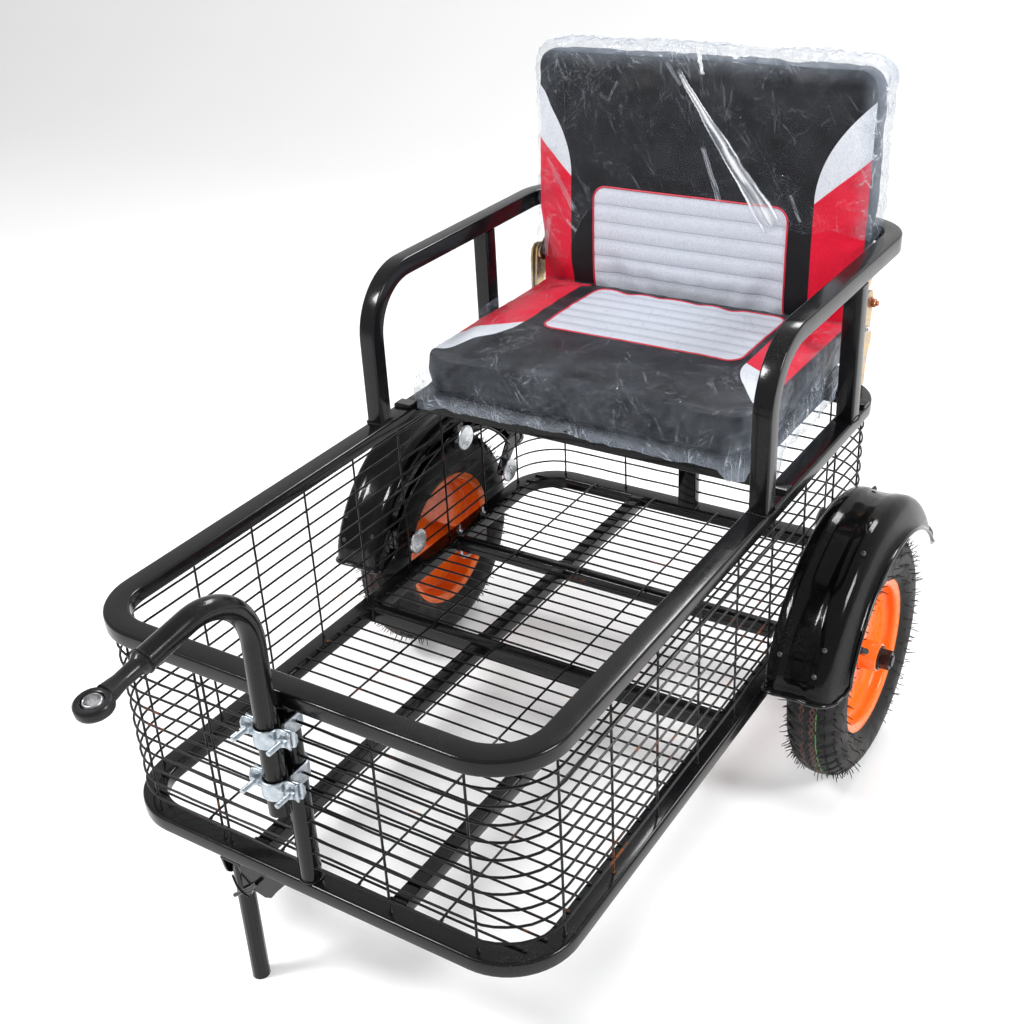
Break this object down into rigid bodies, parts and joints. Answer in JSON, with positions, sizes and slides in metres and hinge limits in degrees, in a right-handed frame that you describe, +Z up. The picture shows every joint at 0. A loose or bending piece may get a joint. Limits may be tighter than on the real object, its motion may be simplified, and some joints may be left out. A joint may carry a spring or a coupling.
{
  "type": "bicycle trailer",
  "caption": "Bicycle trailer: wire cargo basket on pneumatic wheels with a folding padded seat, tube armrests, a height-adjustable drawbar with a towing eye and a prop leg",
  "frame": {"origin": "bottom centre of the bounding box, on the ground under the trailer", "axes": "+X to the right of the trailer as seen from behind it, +Y backwards from the towing eye to the seat back, +Z up"},
  "size_m": [0.8166, 1.2956, 0.9],
  "materials": {
    "frame_paint": "glossy black paint",
    "net_wire": "glossy black paint",
    "zinc_steel": "bright zinc plate",
    "eye_steel": "machined steel",
    "bush_steel": "polished steel",
    "bearing_steel": "ground steel",
    "tyre_rubber": "moulded rubber",
    "rim_paint": "orange powder coat",
    "fender_plastic": "satin black",
    "board_black": "black painted board",
    "seat_cover": "stitched leatherette",
    "hinge_gold": "yellow zinc plate"
  },
  "bodies": {
    "trailer": {"lower_frame": "frame_paint", "upper_frame": "frame_paint", "floor_frame": "frame_paint", "floor_mesh": "net_wire", "side_mesh_left": "net_wire", "side_mesh_right": "net_wire", "side_mesh_front_left": "net_wire", "side_mesh_front_right": "net_wire", "side_mesh_rear": "net_wire", "rear_post": "frame_paint", "drawbar_post": "frame_paint", "seat_support_front": "frame_paint", "seat_support_rear": "frame_paint", "armrest_frame": "frame_paint", "armrest_post_left": "frame_paint", "armrest_post_right": "frame_paint", "leg_bracket": "frame_paint", "leg_pin": "zinc_steel", "clamp_upper_front": "zinc_steel", "clamp_upper_rear": "zinc_steel", "clamp_lower_front": "zinc_steel", "clamp_lower_rear": "zinc_steel", "clamp_bolt_upper_left": "zinc_steel", "clamp_bolt_upper_right": "zinc_steel", "clamp_bolt_lower_left": "zinc_steel", "clamp_bolt_lower_right": "zinc_steel", "axle": "zinc_steel", "axle_block_left": "frame_paint", "axle_block_right": "frame_paint", "axle_u_bolt_left": "zinc_steel", "axle_u_bolt_right": "zinc_steel", "axle_nut_left": "zinc_steel", "axle_nut_right": "zinc_steel", "fender_left": "fender_plastic", "fender_right": "fender_plastic", "fender_bolt_left_front": "zinc_steel", "fender_bolt_left_top": "zinc_steel", "fender_bolt_left_rear": "zinc_steel", "fender_bolt_right_front": "zinc_steel", "fender_bolt_right_top": "zinc_steel", "fender_bolt_right_rear": "zinc_steel", "seat_board": "board_black", "seat_cushion": "seat_cover", "hinge_plate_left": "hinge_gold", "hinge_plate_right": "hinge_gold"},
    "wheel_left": {"tyre_left": "tyre_rubber", "rim_left": "rim_paint", "hub_bearing_left": "bearing_steel"},
    "wheel_right": {"tyre_right": "tyre_rubber", "rim_right": "rim_paint", "hub_bearing_right": "bearing_steel"},
    "backrest": {"back_board": "board_black", "back_cushion": "seat_cover", "hinge_arm_left": "hinge_gold", "hinge_arm_right": "hinge_gold"},
    "prop_leg": {"support_leg": "frame_paint"},
    "drawbar_arm": {"drawbar": "frame_paint", "towing_eye": "eye_steel"},
    "hitch_bush": {"eye_bush": "bush_steel"}
  },
  "joints": [
    {"name": "wheel_left_spin", "type": "hinge", "parent": "trailer", "child": "wheel_left", "pos_m": [-0.3528, 0.34829, 0.17737], "axis": [1, 0, 0], "continuous": true},
    {"name": "wheel_right_spin", "type": "hinge", "parent": "trailer", "child": "wheel_right", "pos_m": [0.3528, 0.34829, 0.17737], "axis": [1, 0, 0], "continuous": true},
    {"name": "backrest_fold", "type": "hinge", "parent": "trailer", "child": "backrest", "pos_m": [0, 0.56029, 0.60737], "axis": [1, 0, 0], "range_deg": [0, 90]},
    {"name": "leg_fold", "type": "hinge", "parent": "trailer", "child": "prop_leg", "pos_m": [-0.116, -0.39671, 0.17697], "axis": [1, 0, 0], "range_deg": [0, 88]},
    {"name": "drawbar_slide", "type": "slide", "parent": "trailer", "child": "drawbar_arm", "axis": [0, 0, 1], "range_m": [-0.09, 0.02]},
    {"name": "eye_bush_tilt", "type": "hinge", "parent": "drawbar_arm", "child": "hitch_bush", "pos_m": [0, -0.6293, 0.6028], "axis": [1, 0, 0], "range_deg": [-15, 15]}
  ]
}
